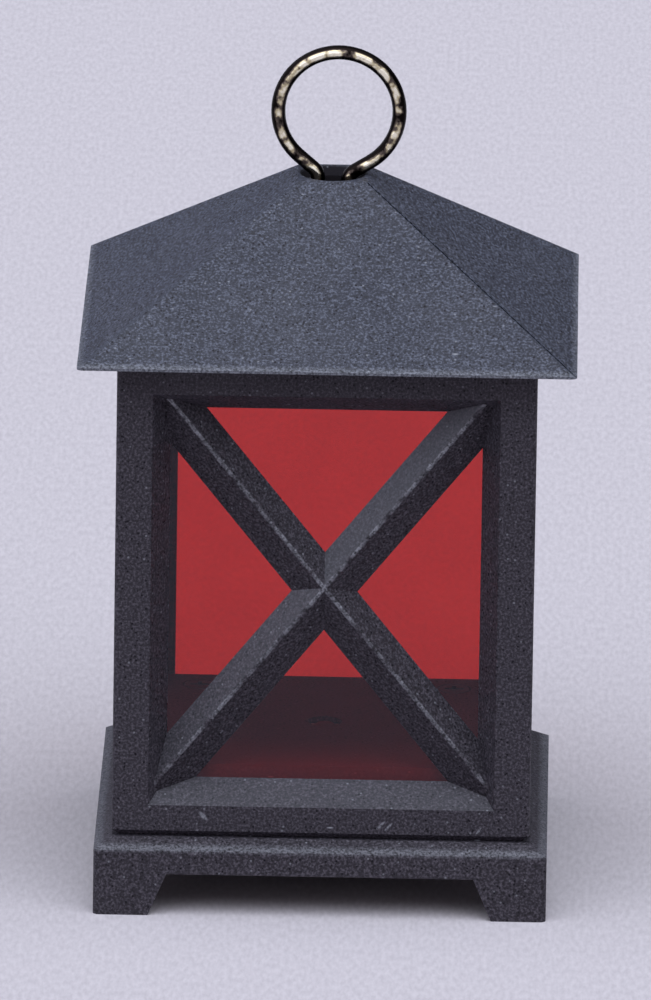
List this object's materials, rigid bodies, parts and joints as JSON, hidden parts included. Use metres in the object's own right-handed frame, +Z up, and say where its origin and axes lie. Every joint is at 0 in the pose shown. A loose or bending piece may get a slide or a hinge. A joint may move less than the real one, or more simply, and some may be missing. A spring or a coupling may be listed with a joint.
{
  "type": "small hanging lantern",
  "caption": "Small square hanging lantern with a pyramid roof, wire ring, red windows behind ridged X bars, and a footed plinth that hides a coin-cell lamp.",
  "frame": {"origin": "middle of the footprint on the surface that the feet stand on", "axes": "+Z up towards the ring, -Y out of the front window, +X to the right as seen from the front"},
  "size_m": [0.038, 0.038, 0.0646],
  "materials": {
    "black_plastic": "moulded black plastic with a fine matt grain",
    "red_plastic": "transparent red sheet, smooth",
    "ring_wire": "polished bent wire, lightly tarnished",
    "screw_steel": "blackened",
    "board_laminate": "green solder mask",
    "lamp_plastic": "white moulded package",
    "lamp_lens": "smoked silicone dome",
    "resistor_body": "black chip",
    "cell_steel": "bright nickel-plated can",
    "holder_plastic": "moulded",
    "contact_metal": "spring strip",
    "switch_plastic": "moulded"
  },
  "bodies": {
    "lantern": {"plinth": "black_plastic", "roof": "black_plastic", "wall_front": "black_plastic", "pane_front": "red_plastic", "front_bar_long": "black_plastic", "front_bar_upper": "black_plastic", "front_bar_lower": "black_plastic", "wall_right": "black_plastic", "pane_right": "red_plastic", "right_bar_long": "black_plastic", "right_bar_upper": "black_plastic", "right_bar_lower": "black_plastic", "wall_back": "black_plastic", "pane_back": "red_plastic", "wall_left": "black_plastic", "pane_left": "red_plastic", "left_bar_long": "black_plastic", "left_bar_upper": "black_plastic", "left_bar_lower": "black_plastic", "floor_plate": "black_plastic", "floor_screws": "screw_steel", "circuit_board": "board_laminate", "led_package": "lamp_plastic", "led_lens": "lamp_lens", "resistor": "resistor_body", "coin_cell": "cell_steel", "cell_holder": "holder_plastic", "contact_positive": "contact_metal", "contact_negative": "contact_metal", "switch_body": "switch_plastic"},
    "ring": {"hanging_ring": "ring_wire"},
    "switch_slider": {"switch_slider": "switch_plastic"},
    "battery_cover": {"battery_cover": "black_plastic"}
  },
  "joints": [
    {"name": "ring_swivel", "type": "hinge", "parent": "lantern", "child": "ring", "pos_m": [0, 0, 0.0545], "axis": [0, 0, 1], "continuous": true},
    {"name": "switch_slide", "type": "slide", "parent": "lantern", "child": "switch_slider", "axis": [1, 0, 0], "range_m": [0, 0.002]},
    {"name": "battery_cover_turn", "type": "hinge", "parent": "lantern", "child": "battery_cover", "pos_m": [0, 0.002, 0.0033], "axis": [0, 0, 1], "range_deg": [0, 45]}
  ]
}
